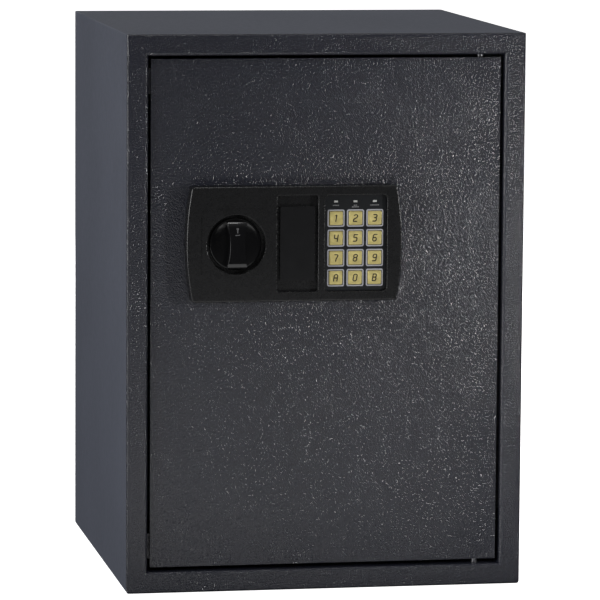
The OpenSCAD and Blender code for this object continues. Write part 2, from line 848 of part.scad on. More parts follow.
module reset_switch() {
    inner_back = mech_back - mech_sheet;
    color("#202225") difference() {
        slab(inner_back - 10, inner_back) centred_rect(reset_x, reset_z, 14, 14, 1);
        round_rod(reset_x, reset_z, 9, inner_back - 4 - reset_travel, inner_back + 1);
    }
}

module reset_button() {
    inner_back = mech_back - mech_sheet;
    color("#a3201f") {
        round_rod(reset_x, reset_z, 8.4, inner_back - 3, inner_back - 1);
        round_rod(reset_x, reset_z, 6.8, inner_back - 3, mech_back + 1.8);
    }
}

// Straight run of wire between two points given as x, depth and z
module wire(a, b, d) {
    v = b - a;
    length = norm(v);
    translate([a[0], back(a[1]), a[2]])
        rotate([0, acos(v[2] / length), atan2(v[1], v[0])]) cylinder(d = d, h = length);
}

module wire_bend(p, d) {
    translate([p[0], back(p[1]), p[2]]) sphere(d = d);
}

// Wires from the keypad board through the door to the battery tray and to the solenoid
module wiring_loom() {
    wire_d = 3;
    x = pad_x - 14;
    depth = barrel_back + 8;
    pass = [x, board_front + board_t, lock_z - 24];
    behind = [x, depth, lock_z - 24];
    fork = [x, depth, tray_z0 + 14];
    lift = [x, depth, solenoid_z1 - 13];
    turn = [x, plunger_y, solenoid_z1 - 13];
    color("#5b1f1d") {
        wire(pass, behind, wire_d);
        wire(behind, lift, wire_d);
        wire(fork, [tray_x0 + 10, tray_front - wire_d / 2, tray_z0 + 14], wire_d);
        wire(lift, turn, wire_d);
        wire(turn, [plunger_x + solenoid_half + wire_d / 2, plunger_y, solenoid_z1 - 13], wire_d);
        for (p = [behind, lift, turn]) wire_bend(p, wire_d);
    }
}

// ---- knob and bolt work ----

// Outline of the grip: wide rounded ends that follow the disc, and a waist
module grip_outline() {
    half = grip_l / 2;
    side = [for (i = [-8:8]) let (t = i / 8)
        [grip_waist_w / 2 + (grip_end_w - grip_waist_w) / 2 * t * t, t * half]];
    other = [for (i = [8:-1:-8]) let (t = i / 8)
        [-grip_waist_w / 2 - (grip_end_w - grip_waist_w) / 2 * t * t, t * half]];
    intersection() {
        polygon(concat(side, other));
        circle(half);
    }
}

module knob() {
    disc_back = dish_floor - 0.5;
    disc_front = disc_back - 3.5;
    grip_front = panel_front - grip_proud;
    color("#101012") difference() {
        union() {
            round_rod(knob_x, lock_z, knob_d, disc_front, disc_back);
            slab(grip_front, disc_front + 1) translate([knob_x, lock_z]) grip_outline();
        }
        round_rod(knob_x, lock_z, spindle_d, disc_front - 4, disc_back + 1);
    }
}

module knob_spindle() {
    groove = cam_front + cam_t + 0.4;
    color("#b9bbbf") {
        round_rod(knob_x, lock_z, spindle_d, dish_floor - 7.5, groove);
        round_rod(knob_x, lock_z, spindle_d - 1.6, groove, groove + clip_t);
        round_rod(knob_x, lock_z, spindle_d, groove + clip_t, spindle_back);
    }
}

module drive_cam() {
    color("#b9bbbf") difference() {
        union() {
            slab(cam_front, cam_front + cam_t) {
                translate([knob_x, lock_z]) circle(d = spindle_d + 8);
                translate([cam_pin_x, cam_pin_z]) circle(d = cam_pin_d + 4);
                translate([knob_x, lock_z]) rotate(-knob_turn / 2)
                    rect(-cam_pin_d / 2 - 2, 0, cam_pin_d / 2 + 2, cam_r);
            }
            round_rod(cam_pin_x, cam_pin_z, cam_pin_d, cam_front, carriage_back + 1.2);
        }
        round_rod(knob_x, lock_z, spindle_d, cam_front - 1, cam_front + cam_t + 1);
    }
}

module spindle_clip() {
    groove = cam_front + cam_t + 0.4;
    color("#8d9096") slab(groove, groove + clip_t) translate([knob_x, lock_z]) difference() {
        circle(d = spindle_d + 5);
        circle(d = spindle_d - 1.6);
        rect(-2, -spindle_d, 2, 0);
    }
}

module locking_bolts() {
    tip_chamfer = 1.5;
    flat_x = carriage_x0 - 2;
    color("#c9cbd0") for (z = [lock_z - bolt_half, lock_z + bolt_half]) difference() {
        union() {
            cross_rod(bolt_tip + tip_chamfer, bolt_tip + bolt_l, bolt_y, z, bolt_d);
            translate([bolt_tip, back(bolt_y), z]) rotate([0, 90, 0])
                cylinder(d1 = bolt_d - 2 * tip_chamfer, d2 = bolt_d, h = tip_chamfer);
        }
        slab(bolt_y - bolt_d, carriage_back) rect(flat_x, z - bolt_d, bolt_tip + bolt_l + 1, z + bolt_d);
        for (x = bolt_screw_x) round_rod(x, z, bolt_screw_d, carriage_front, bolt_y);
    }
}

module bolt_carriage() {
    slot_half = cam_pin_d / 2 + slot_clear;
    stud_half = stud_d / 2 + slot_clear;
    cam_top = lock_z + cam_r;
    color("#9a9da3") difference() {
        union() {
            slab(carriage_front, carriage_back)
                rect(carriage_x0, lock_z - carriage_half, carriage_x1, lock_z + carriage_half);
            slab(carriage_front, carriage_back) rect(carriage_x1 - 1, horn_z0, tooth_x + tooth_land, horn_z1);
            slab(carriage_front, carriage_back) polygon([
                [tooth_x - tooth_ramp, horn_z0 + 1], [tooth_x - tooth_ramp, horn_z1], [tooth_x, horn_z1 + tooth_h],
                [tooth_x + tooth_land, horn_z1 + tooth_h], [tooth_x + tooth_land, horn_z0 + 1]
            ]);
        }
        slab(carriage_front - 1, carriage_back + 1) {
            rect(
                cam_pin_x - slot_half, cam_pin_z - slot_half - 0.4,
                cam_pin_x + slot_half, cam_top + slot_half + 0.4
            );
            for (z = [lock_z - stud_z, lock_z + stud_z]) {
                translate([stud_x, z]) circle(stud_half);
                translate([stud_x + throw, z]) circle(stud_half);
                rect(stud_x, z - stud_half, stud_x + throw, z + stud_half);
            }
            for (x = bolt_screw_x, z = [lock_z - bolt_half, lock_z + bolt_half])
                translate([x, z]) circle(d = bolt_screw_d + 2 * screw_gap);
            rect(carriage_x0 + 10, lock_z + stud_z + 14, carriage_x1 - 10, lock_z + bolt_half - 14);
            rect(carriage_x0 + 10, lock_z - bolt_half + 14, carriage_x1 - 10, lock_z - stud_z - 14);
        }
    }
}

module bolt_screws() {
    color("#8d9096") for (x = bolt_screw_x, z = [lock_z - bolt_half, lock_z + bolt_half]) {
        round_rod(x, z, bolt_screw_d - 2 * screw_gap, carriage_front - 1, bolt_y - 0.5);
        round_rod(x, z, bolt_screw_d + 2.4, carriage_front - 2.4, carriage_front);
    }
}

// ---- override key ----

module key_cover() {
    color("#202124") difference() {
        union() {
            slab(panel_front + 2, slot_floor - 0.3) centred_rect(slot_x, lock_z, cover_w, cover_h, 1.5);
            for (z = [-cover_h / 2 + 6, cover_h / 2 - 6])
                round_rod(slot_x, lock_z + z, 4, slot_floor - 1, slot_floor + 2);
        }
        slab(panel_front + 4, slot_floor + 1) centred_rect(slot_x, override_z, barrel_d + 3, barrel_d + 3, 2);
    }
}

module override_plug() {
    color("#d2b766") difference() {
        union() {
            round_rod(slot_x, override_z, plug_d, slot_floor + 0.8, arm_front);
            round_rod(slot_x, override_z, plug_d - 4, arm_front, arm_front + arm_t + 1.5);
        }
        slab(slot_floor, slot_floor + 12) rect(slot_x - 1, override_z - 4, slot_x + 1, override_z + 4);
    }
}

module override_cam() {
    color("#9a9da3") slab(arm_front, arm_front + arm_t) translate([slot_x, override_z]) rotate(arm_angle)
        difference() {
            union() {
                circle(d = plug_d + 4);
                rect(0, -arm_end_r, arm_len, arm_end_r);
                translate([arm_len, 0]) circle(arm_end_r);
            }
            circle(d = plug_d - 4);
        }
}

body_shell();
front_frame();
back_panel();
hinge_plates();
door_stops();
shelf_ledges();
floor_mat();
shelf();
door_plate();
hinge_brackets();
hinge_pins();
anti_pry_bar();
bolt_guide_channel();
carriage_studs();
spindle_bush();
lock_panel();
panel_screws();
keypad_overlay();
key_frames();
status_lamps();
keypad_board();
buzzer();
override_lock_body();
override_lock_nut();
solenoid_frame();
solenoid_coil();
plunger_spring();
mechanism_cover();
cover_screws();
battery_tray();
batteries();
battery_contacts();
reset_switch();
wiring_loom();
knob();
knob_spindle();
drive_cam();
spindle_clip();
locking_bolts();
bolt_carriage();
bolt_screws();
solenoid_plunger();
key_cover();
override_plug();
override_cam();
battery_lid();
reset_button();
for (i = [0:11]) key(i);
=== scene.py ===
import json
import math
import random

import bmesh
import bpy
from mathutils import Matrix, Vector

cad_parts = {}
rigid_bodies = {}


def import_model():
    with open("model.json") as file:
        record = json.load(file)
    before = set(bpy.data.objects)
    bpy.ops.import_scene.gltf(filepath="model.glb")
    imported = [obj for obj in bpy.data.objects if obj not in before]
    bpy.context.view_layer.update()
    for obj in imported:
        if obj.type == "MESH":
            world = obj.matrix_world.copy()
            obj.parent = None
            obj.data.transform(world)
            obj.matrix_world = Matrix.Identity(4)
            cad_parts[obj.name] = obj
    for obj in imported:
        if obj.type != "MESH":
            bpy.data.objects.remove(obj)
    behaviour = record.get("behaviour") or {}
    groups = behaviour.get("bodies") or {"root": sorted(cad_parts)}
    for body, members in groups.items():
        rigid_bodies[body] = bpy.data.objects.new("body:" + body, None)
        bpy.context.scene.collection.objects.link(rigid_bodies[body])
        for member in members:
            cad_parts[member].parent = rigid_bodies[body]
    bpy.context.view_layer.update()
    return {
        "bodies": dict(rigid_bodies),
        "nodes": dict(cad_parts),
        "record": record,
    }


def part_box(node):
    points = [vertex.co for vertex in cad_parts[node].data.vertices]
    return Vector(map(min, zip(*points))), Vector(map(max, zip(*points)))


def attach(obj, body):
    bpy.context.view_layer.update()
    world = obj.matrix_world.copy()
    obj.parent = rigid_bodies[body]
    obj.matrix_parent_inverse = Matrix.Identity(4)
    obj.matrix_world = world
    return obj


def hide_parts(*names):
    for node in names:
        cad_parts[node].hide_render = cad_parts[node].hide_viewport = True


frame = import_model()
rng = random.Random(11)
MM = 0.001

CAMERA_LENS = 256.28
CAMERA_PLACE = (-0.70097, -3.89898, 0.7395)
CAMERA_YAW_PITCH_ROLL = (-10.316, -7.191, -0.389)

# Rectangular lights: name, place, target, width and height in metres, power in watts, and whether
# gloss mirrors it
LIGHTS = [
    ("ceiling", (-0.1, -0.9, 1.9), (0, 0, 0.3), (0.6, 0.3), 5.4, True),
    ("right", (0.68, -0.78, 0.37), (0.05, -0.18, 0.3), (0.065, 0.14), 3.6, True),
    ("left", (-2.6, -0.9, 0.7), (-0.18, 0, 0.25), (1.4, 1.6), 56, True),
    ("far right", (2.0, 1.0, 0.9), (0.18, 0, 0.25), (1.2, 1.2), 30, False),
    ("back", (-0.4, 2.4, 0.9), (0, 0.18, 0.25), (1.4, 1.2), 30, False),
    ("low", (-0.5, -0.7, 0.01), (-0.5, -0.6, 1.0), (1.5, 0.8), 4.6, True),
]
ROOM_STRENGTH = 0.31
ROOM_DARK, ROOM_BRIGHT = (0.08, 0.08, 0.085, 1), (1, 1, 1, 1)
ROOM_DARK_BELOW, ROOM_BRIGHT_ABOVE = 0.42, 0.95

FLOOR_RADIUS, FLOOR_DROP = 30, 0.0004


# ---------------------------------------------------------------- camera and light

def look_rotation(yaw, pitch, roll):
    """Rotation of a camera that looks along +Y before it is turned by these angles, in degrees."""
    turn = (
        Matrix.Rotation(math.radians(yaw), 3, "Z")
        @ Matrix.Rotation(math.radians(pitch), 3, "X")
        @ Matrix.Rotation(math.radians(roll), 3, "Y")
        @ Matrix.Rotation(math.radians(90), 3, "X")
    )
    return turn.to_quaternion()


def add_camera():
    data = bpy.data.cameras.new("camera")
    data.sensor_width = 36
    data.lens = CAMERA_LENS
    data.clip_start, data.clip_end = 0.05, 100
    camera = bpy.data.objects.new("camera", data)
    camera.location = CAMERA_PLACE
    camera.rotation_mode = "QUATERNION"
    camera.rotation_quaternion = look_rotation(*CAMERA_YAW_PITCH_ROLL)
    bpy.context.scene.collection.objects.link(camera)
    bpy.context.scene.camera = camera


def add_area(name, place, target, size, power, mirrored):
    data = bpy.data.lights.new(name, "AREA")
    data.shape = "RECTANGLE"
    data.size, data.size_y = size
    data.energy = power
    light = bpy.data.objects.new(name, data)
    light.location = place
    light.visible_glossy = mirrored
    aim = Vector(target) - Vector(place)
    light.rotation_mode = "QUATERNION"
    light.rotation_quaternion = aim.to_track_quat("-Z", "Y")
    bpy.context.scene.collection.objects.link(light)


def add_world():
    """White for the camera, and a dim room that brightens upward for all other rays."""
    world = bpy.data.worlds.new("world")
    bpy.context.scene.world = world
    world.use_nodes = True
    tree = world.node_tree
    tree.nodes.clear()
    out = tree.nodes.new("ShaderNodeOutputWorld")
    seen = tree.nodes.new("ShaderNodeBackground")
    seen.inputs["Color"].default_value = ROOM_BRIGHT
    seen.inputs["Strength"].default_value = 1.0
    lit = tree.nodes.new("ShaderNodeBackground")
    lit.inputs["Strength"].default_value = ROOM_STRENGTH
    ramp = tree.nodes.new("ShaderNodeValToRGB")
    dark, bright = ramp.color_ramp.elements
    dark.position, dark.color = ROOM_DARK_BELOW, ROOM_DARK
    bright.position, bright.color = ROOM_BRIGHT_ABOVE, ROOM_BRIGHT
    coord = tree.nodes.new("ShaderNodeTexCoord")
    split = tree.nodes.new("ShaderNodeSeparateXYZ")
    rise = tree.nodes.new("ShaderNodeMath")
    rise.operation = "MULTIPLY_ADD"
    rise.inputs[1].default_value = 0.5
    rise.inputs[2].default_value = 0.5
    path = tree.nodes.new("ShaderNodeLightPath")
    mix = tree.nodes.new("ShaderNodeMixShader")
    link = tree.links.new
    link(coord.outputs["Generated"], split.inputs[0])
    link(split.outputs["Z"], rise.inputs[0])
    link(rise.outputs[0], ramp.inputs[0])
    link(ramp.outputs[0], lit.inputs["Color"])
    link(path.outputs["Is Camera Ray"], mix.inputs[0])
    link(lit.outputs[0], mix.inputs[1])
    link(seen.outputs[0], mix.inputs[2])
    link(mix.outputs[0], out.inputs[0])


# ---------------------------------------------------------------- materials

class Nodes:
    """Short calls for one material's node tree."""

    def __init__(self, name):
        self.material = bpy.data.materials.new(name)
        self.material.use_nodes = True
        self.tree = self.material.node_tree
        self.shader = self.tree.nodes["Principled BSDF"]
        self.coord = self.tree.nodes.new("ShaderNodeTexCoord").outputs["Object"]

    def link(self, a, b):
        self.tree.links.new(a, b)

    def set(self, **values):
        for name, value in values.items():
            socket = self.shader.inputs[name.replace("_", " ")]
            socket.default_value = (*value, 1) if isinstance(value, tuple) else value

    def mapped(self, scale, rotation=(0, 0, 0), kind="POINT"):
        node = self.tree.nodes.new("ShaderNodeMapping")
        node.vector_type = kind
        node.inputs["Rotation"].default_value = rotation
        node.inputs["Scale"].default_value = scale
        self.link(self.coord, node.inputs["Vector"])
        return node.outputs[0]

    def noise(self, scale, detail=2.0, roughness=0.5, vector=None):
        node = self.tree.nodes.new("ShaderNodeTexNoise")
        node.inputs["Scale"].default_value = scale
        node.inputs["Detail"].default_value = detail
        node.inputs["Roughness"].default_value = roughness
        self.link(vector or self.coord, node.inputs["Vector"])
        return node.outputs["Fac"]

    def cell_edges(self, scale):
        """Distance to the nearest edge between cells."""
        node = self.tree.nodes.new("ShaderNodeTexVoronoi")
        node.feature = "DISTANCE_TO_EDGE"
        node.inputs["Scale"].default_value = scale
        self.link(self.coord, node.inputs["Vector"])
        return node.outputs["Distance"]

    def ramp(self, value, stops, interpolation="LINEAR"):
        node = self.tree.nodes.new("ShaderNodeValToRGB")
        node.color_ramp.interpolation = interpolation
        elements = node.color_ramp.elements
        while len(elements) < len(stops):
            elements.new(0.5)
        for element, (position, colour) in zip(elements, stops):
            element.position, element.color = position, (*colour, 1)
        self.link(value, node.inputs[0])
        return node.outputs[0]

    def scaled(self, value, low, high, from_low=0.3, from_high=0.7):
        """The value moved from one range, noise's usual one unless given, to low and high."""
        node = self.tree.nodes.new("ShaderNodeMapRange")
        node.inputs["From Min"].default_value = from_low
        node.inputs["From Max"].default_value = from_high
        node.inputs["To Min"].default_value = low
        node.inputs["To Max"].default_value = high
        self.link(value, node.inputs["Value"])
        return node.outputs["Result"]

    def sum(self, a, b, share):
        """The first value plus a share of the second."""
        node = self.tree.nodes.new("ShaderNodeMath")
        node.operation = "MULTIPLY_ADD"
        node.inputs[1].default_value = share
        self.link(b, node.inputs[0])
        self.link(a, node.inputs[2])
        return node.outputs[0]

    def axis(self, name):
        node = self.tree.nodes.new("ShaderNodeSeparateXYZ")
        self.link(self.coord, node.inputs[0])
        return node.outputs[name]

    def bump(self, height, strength, distance):
        node = self.tree.nodes.new("ShaderNodeBump")
        node.inputs["Strength"].default_value = strength
        node.inputs["Distance"].default_value = distance
        self.link(height, node.inputs["Height"])
        self.link(node.outputs[0], self.shader.inputs["Normal"])

    def colour(self, socket):
        self.link(socket, self.shader.inputs["Base Color"])

    def rough(self, socket):
        self.link(socket, self.shader.inputs["Roughness"])


def shade(colour, factor):
    return tuple(min(1.0, c * factor) for c in colour)


def varied(nodes, base, spread, scale, detail=3.0):
    """Base colour that drifts by spread either way over the surface."""
    stops = [(0.3, shade(base, 1 - spread)), (0.7, shade(base, 1 + spread))]
    nodes.colour(nodes.ramp(nodes.noise(scale, detail), stops))


def paint_smooth(name, base):
    """Sprayed paint with a faint orange peel."""
    n = Nodes(name)
    varied(n, base, 0.05, 9)
    n.rough(n.scaled(n.noise(180), 0.48, 0.53))
    n.bump(n.noise(650, 2), 0.25, 0.12 * MM)
    return n.material


def paint_hammered(name, base):
    """Glossy paint with fine dimples drawn out along a slope, which catch the light as sparkles."""
    n = Nodes(name)
    slope = (0, math.radians(-32), 0)
    dimples = n.noise(1050, 1.0, 0.5, n.mapped((1, 1, 1.7), slope, "TEXTURE"))
    # Colour follows the dimples' height: painted shade in their hollows and painted light on their
    # crowns, plus a broad random drift in tone
    stops = [(0.5, shade(base, 0.8)), (1.0, shade(base, 1.25))]
    n.colour(n.ramp(n.sum(dimples, n.noise(7), 0.5), stops))
    n.rough(n.scaled(n.noise(900), 0.11, 0.16))
    n.bump(dimples, 1.0, 0.66 * MM)
    return n.material


def plastic(name, base, rough, grain=2200, depth=0.06 * MM, spread=0.08, strength=0.4, **more):
    """Moulded plastic with a fine grain; more sets the shader's own sockets."""
    n = Nodes(name)
    varied(n, base, spread, 60)
    n.rough(n.scaled(n.noise(400, 3), rough - 0.02, rough + 0.03))
    n.bump(n.noise(grain, 2), strength, depth)
    n.set(**more)
    return n.material


def metal(name, base, rough, stretch, grain):
    """Bare metal with machining marks, drawn out along the axis whose stretch is below 1."""
    n = Nodes(name)
    n.set(Metallic=1.0)
    varied(n, base, 0.06, 35)
    lines = n.noise(grain, 3, 0.6, n.mapped(stretch))
    n.rough(n.scaled(lines, rough - 0.07, rough + 0.1))
    n.bump(lines, 0.3, 0.04 * MM)
    return n.material


def felt_material():
    n = Nodes("felt")
    base = (0.022, 0.023, 0.026)
    fibre = n.noise(1700, 5, 0.75)
    clumps = n.noise(160, 4, 0.6)
    mixed = n.sum(fibre, clumps, 0.5)
    stops = [(0.45, shade(base, 0.45)), (0.75, shade(base, 1.3)), (1.0, shade(base, 2.6))]
    n.colour(n.ramp(mixed, stops))
    n.set(Roughness=0.95, Sheen_Weight=0.35, Sheen_Roughness=0.5)
    n.bump(mixed, 0.9, 0.8 * MM)
    return n.material


def key_material():
    n = Nodes("key_gold")
    varied(n, (0.62, 0.525, 0.205), 0.10, 260, 4)
    n.set(Metallic=0.45)
    n.rough(n.scaled(n.noise(900, 3), 0.3, 0.42))
    n.bump(n.noise(1900, 3), 0.3, 0.05 * MM)
    return n.material


def board_material():
    n = Nodes("board_green")
    tracks = n.cell_edges(500)
    n.colour(n.ramp(tracks, [(0.04, (0.03, 0.20, 0.09)), (0.12, (0.012, 0.085, 0.04))]))
    n.rough(n.scaled(n.noise(300), 0.3, 0.45))
    n.bump(tracks, 0.3, 0.1 * MM)
    return n.material


def coil_material():
    n = Nodes("copper_coil")
    n.set(Metallic=1.0)
    turns = n.tree.nodes.new("ShaderNodeTexWave")
    turns.wave_type, turns.bands_direction = "BANDS", "Z"
    turns.inputs["Scale"].default_value = 900
    turns.inputs["Distortion"].default_value = 0.6
    n.link(n.coord, turns.inputs["Vector"])
    wave = turns.outputs["Fac"]
    # Colour follows the same bands: painted shade in the grooves between turns and painted highlight
    # on their crowns
    n.colour(n.ramp(wave, [(0.2, (0.22, 0.075, 0.03)), (0.8, (0.72, 0.30, 0.13))]))
    n.rough(n.scaled(n.noise(400), 0.22, 0.34))
    n.bump(wave, 0.7, 0.3 * MM)
    return n.material


def cell_material():
    """Bare metal at both ends, and a dark sleeve with a brass-coloured band above it."""
    n = Nodes("cell_wrap")
    low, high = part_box("batteries")
    height = n.scaled(n.axis("Z"), 0.0, 1.0, low.z, high.z)
    sleeve, band, steel = (0.018, 0.02, 0.026), (0.60, 0.33, 0.09), (0.62, 0.62, 0.63)
    stops = [(0.0, steel), (0.03, sleeve), (0.72, band), (0.955, steel)]
    n.colour(n.ramp(height, stops, "CONSTANT"))
    n.rough(n.scaled(n.noise(500), 0.22, 0.34))
    n.bump(n.noise(900), 0.2, 0.04 * MM)
    n.set(Metallic=0.35)
    return n.material


def make_materials():
    black_knob, panel = (0.0045, 0.0045, 0.005), (0.0065, 0.0066, 0.0071)
    return {
        "cabinet_paint": paint_smooth("cabinet_paint", (0.075, 0.082, 0.106)),
        "front_paint": paint_hammered("front_paint", (0.0150, 0.0162, 0.0240)),
        "bright_steel": metal("bright_steel", (0.72, 0.72, 0.73), 0.2, (0.1, 1, 1), 1500),
        "pin_steel": metal("pin_steel", (0.16, 0.16, 0.17), 0.38, (1, 1, 1), 900),
        "brass": metal("brass", (0.60, 0.43, 0.17), 0.26, (1, 0.2, 1), 900),
        "felt": felt_material(),
        "key_gold": key_material(),
        "board_green": board_material(),
        "copper_coil": coil_material(),
        "cell_wrap": cell_material(),
        "panel_plastic": plastic("panel_plastic", panel, 0.27, strength=0.15),
        "knob_plastic": plastic("knob_plastic", black_knob, 0.12, 900, 0.02 * MM, 0.05, 0.2),
        "cover_plastic": plastic("cover_plastic", (0.0065, 0.0066, 0.0072), 0.24, strength=0.15),
        "overlay_plastic": plastic("overlay_plastic", (0.008, 0.009, 0.0105), 0.30, 3000),
        "frame_grey": plastic("frame_grey", (0.36, 0.36, 0.385), 0.42),
        "lamp_clear": plastic("lamp_clear", (0.62, 0.62, 0.60), 0.25, Transmission_Weight=0.15),
        "black_plastic": plastic("black_plastic", (0.012, 0.012, 0.013), 0.45),
        "wire_red": plastic("wire_red", (0.30, 0.018, 0.015), 0.35),
        "reset_red": plastic("reset_red", (0.42, 0.022, 0.018), 0.3),
        "mark_grey": plastic("mark_grey", (0.22, 0.22, 0.225), 0.45),
        "mark_dim": plastic("mark_dim", (0.085, 0.085, 0.088), 0.4),
        "figure_brown": plastic("figure_brown", (0.022, 0.015, 0.003), 0.4),
    }


def dress_nodes(made):
    """Gives each CAD node its record slot's material, but the hinge pins a duller steel."""
    for part in frame["record"]["subparts"]:
        name = "pin_steel" if part["node"] == "hinge_pins" else part["material_slot"]
        data = frame["nodes"][part["node"]].data
        data.materials.clear()
        data.materials.append(made[name])


add_camera()
add_world()
materials = make_materials()
dress_nodes(materials)


# ---------------------------------------------------------------- softened CAD edges

def soften(node, width):
    """Rounds a node's sharp edges with modifiers, on faces merged back from the triangles."""
    obj = frame["nodes"][node]
    weld = obj.modifiers.new("weld", "WELD")
    weld.merge_threshold = 0.01 * MM
    flat = obj.modifiers.new("flat", "DECIMATE")
    flat.decimate_type = "DISSOLVE"
    flat.angle_limit = math.radians(0.4)
    bevel = obj.modifiers.new("bevel", "BEVEL")
    bevel.width = width
    bevel.segments = 2
    bevel.limit_method = "ANGLE"
    bevel.angle_limit = math.radians(28)
    bevel.use_clamp_overlap = True
    normals = obj.modifiers.new("normals", "WEIGHTED_NORMAL")
    normals.keep_sharp = False
    for polygon in obj.data.polygons:
        polygon.use_smooth = True


# Edge widths in millimetres
SOFT_EDGES = {
    0.9: ["body_shell", "back_panel"],
    0.6: ["front_frame", "door_plate", "mechanism_cover", "shelf", "anti_pry_bar"],
    0.5: ["battery_lid", "bolt_guide_channel"],
    0.4: ["key_cover", "hinge_brackets", "hinge_plates", "shelf_ledges", "door_stops"],
    0.25: [
        "keypad_overlay", "battery_tray", "locking_bolts", "bolt_carriage", "drive_cam",
        "hinge_pins",
    ],
    0.2: ["status_lamps", "reset_button", "override_plug", "override_lock_body", "reset_switch"],
    0.12: ["key_frames"],
}
for edge, group in SOFT_EDGES.items():
    for node in group:
        soften(node, edge * MM)
KEYS = [name for name in frame["bodies"] if name.startswith("key_") and name != "key_cover"]


# ---------------------------------------------------------------- pieces

def mesh_object(name, shape, material, smooth_angle=35):
    """A new object from a bmesh, smooth except across edges sharper than smooth_angle."""
    bmesh.ops.remove_doubles(shape, verts=shape.verts, dist=1e-7)
    closed(shape)
    limit = math.radians(smooth_angle)
    for face in shape.faces:
        face.smooth = True
    for edge in shape.edges:
        edge.smooth = len(edge.link_faces) == 2 and edge.calc_face_angle(0) < limit
    data = bpy.data.meshes.new(name)
    shape.to_mesh(data)
    shape.free()
    data.materials.append(material)
    obj = bpy.data.objects.new(name, data)
    bpy.context.scene.collection.objects.link(obj)
    return obj


def closed(shape):
    """Turns every face of a closed bmesh outward."""
    shape.normal_update()
    bmesh.ops.recalc_face_normals(shape, faces=shape.faces)
    if shape.calc_volume(signed=True) < 0:
        bmesh.ops.reverse_faces(shape, faces=shape.faces)
    return shape


def absorb(shape, solid):
    """Adds one bmesh to another and frees it."""
    scratch = bpy.data.meshes.new("scratch")
    solid.to_mesh(scratch)
    solid.free()
    shape.from_mesh(scratch)
    bpy.data.meshes.remove(scratch)


def middle(node):
    """Where the middle of a node's box is, as x and z."""
    low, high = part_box(node)
    return (low.x + high.x) / 2, (low.z + high.z) / 2


def sharper(edge, degrees):
    return len(edge.link_faces) == 2 and edge.calc_face_angle(0) > math.radians(degrees)


def prism(outline, low, high, axis):
    """A closed outline of (a, b) points pushed along axis X or Y from low to high, as a bmesh."""
    shape = bmesh.new()

    def point(a, b, along):
        return (along, a, b) if axis == "X" else (a, along, b)

    rings = [[shape.verts.new(point(a, b, along)) for a, b in outline] for along in (low, high)]
    shape.faces.new(rings[0])
    shape.faces.new(rings[1])
    count = len(outline)
    for i in range(count):
        j = (i + 1) % count
        shape.faces.new((rings[0][i], rings[0][j], rings[1][j], rings[1][i]))
    return closed(shape)


def lathe(profile, centre, steps=96):
    """A profile of (radius, y) points turned about an axis along Y through centre (x, z)."""
    shape = bmesh.new()
    cx, cz = centre
    rings = []
    for radius, y in profile:
        if radius == 0:
            rings.append([shape.verts.new((cx, y, cz))])
            continue
        ring = []
        for i in range(steps):
            angle = 2 * math.pi * i / steps
            x, z = cx + radius * math.cos(angle), cz + radius * math.sin(angle)
            ring.append(shape.verts.new((x, y, z)))
        rings.append(ring)
    for a, b in zip(rings, rings[1:]):
        for i in range(steps):
            j = (i + 1) % steps
            corners = [a[i % len(a)], a[j % len(a)], b[j % len(b)], b[i % len(b)]]
            corners = list(dict.fromkeys(corners))
            if len(corners) > 2:
                shape.faces.new(corners)
    return closed(shape)


def combined(first, second, operation):
    """The boolean of two bmesh solids, as a bmesh."""
    objects = []
    for shape in (first, second):
        data = bpy.data.meshes.new("scratch")
        shape.to_mesh(data)
        shape.free()
        obj = bpy.data.objects.new("scratch", data)
        bpy.context.scene.collection.objects.link(obj)
        objects.append(obj)
    cut = objects[0].modifiers.new("cut", "BOOLEAN")
    cut.operation, cut.solver, cut.object = operation, "EXACT", objects[1]
    graph = bpy.context.evaluated_depsgraph_get()
    result = bmesh.new()
    result.from_object(objects[0], graph)
    for obj in objects:
        data = obj.data
        bpy.data.objects.remove(obj)
        bpy.data.meshes.remove(data)
    return result


def bevel_edges(shape, edges, width, segments, clamp):
    bmesh.ops.bevel(
        shape, geom=edges, offset=width, segments=segments, profile=0.5, affect="EDGES",
        clamp_overlap=clamp,
    )


# How far the lock panel's ends bulge, how far in from its top and ends an edge still counts as its
# rim, and how far from the knob an edge still counts as the knob's recess
PANEL_BULGE, RIM_TOP, RIM_END = 5 * MM, 3.2 * MM, 1.2 * MM
KNOB_RECESS_REACH, KNOB_CLEAR = 27 * MM, 6 * MM
FRONT_TOLERANCE = 0.02 * MM


